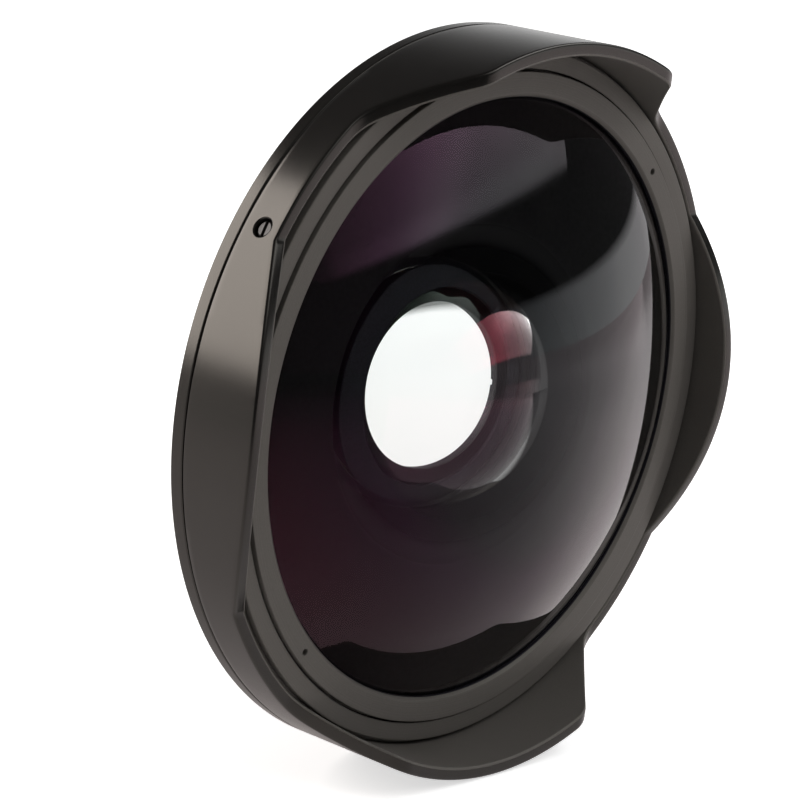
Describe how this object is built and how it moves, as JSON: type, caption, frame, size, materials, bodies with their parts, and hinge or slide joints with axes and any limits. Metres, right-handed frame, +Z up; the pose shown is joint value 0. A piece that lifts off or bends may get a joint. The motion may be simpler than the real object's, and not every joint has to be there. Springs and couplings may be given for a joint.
{
  "type": "fisheye converter lens",
  "caption": "Short screw-in fisheye converter lens: domed coated front glass in a black anodised metal barrel, with a turnable petal hood clamped by grub screws and a threaded rear mount.",
  "frame": {"origin": "on the optical axis, in the plane of the shoulder that seats against the host lens", "axes": "+Y along the optical axis towards the host lens, so the front glass looks along -Y; +Z up through a tall petal of the hood as stored; +X to the right seen from the front"},
  "size_m": [0.1, 0.04, 0.1],
  "materials": {
    "anodised": "black anodised, fine satin",
    "inner_black": "matt black anodised",
    "coated_glass": "polished, coated",
    "screw_black": "blackened steel",
    "soft_black": "matt",
    "shim_brass": "rolled foil"
  },
  "bodies": {
    "barrel": {"main_barrel": "anodised", "front_retaining_ring": "anodised", "front_element": "coated_glass", "front_gasket": "soft_black", "baffle_ring": "inner_black", "rear_cell": "anodised", "cell_shim": "shim_brass", "rear_crown_element": "coated_glass", "rear_flint_element": "coated_glass", "rear_seal": "soft_black", "rear_retaining_ring": "anodised", "rear_mount_ring": "anodised", "mount_screw_1": "screw_black", "mount_screw_2": "screw_black", "mount_screw_3": "screw_black"},
    "hood": {"petal_hood": "anodised"},
    "screw_right": {"hood_screw_right": "screw_black"},
    "screw_left": {"hood_screw_left": "screw_black"},
    "screw_bottom": {"hood_screw_bottom": "screw_black"}
  },
  "joints": [
    {"name": "hood_turn", "type": "hinge", "parent": "barrel", "child": "hood", "pos_m": [0, -0.0192, 0], "axis": [0, -1, 0], "continuous": true},
    {"name": "hood_screw_right_travel", "type": "slide", "parent": "hood", "child": "screw_right", "axis": [0.866, 0, 0.5], "range_m": [0, 0.0009]},
    {"name": "hood_screw_left_travel", "type": "slide", "parent": "hood", "child": "screw_left", "axis": [-0.866, 0, 0.5], "range_m": [0, 0.0009]},
    {"name": "hood_screw_bottom_travel", "type": "slide", "parent": "hood", "child": "screw_bottom", "axis": [0, 0, -1], "range_m": [0, 0.0009]}
  ]
}
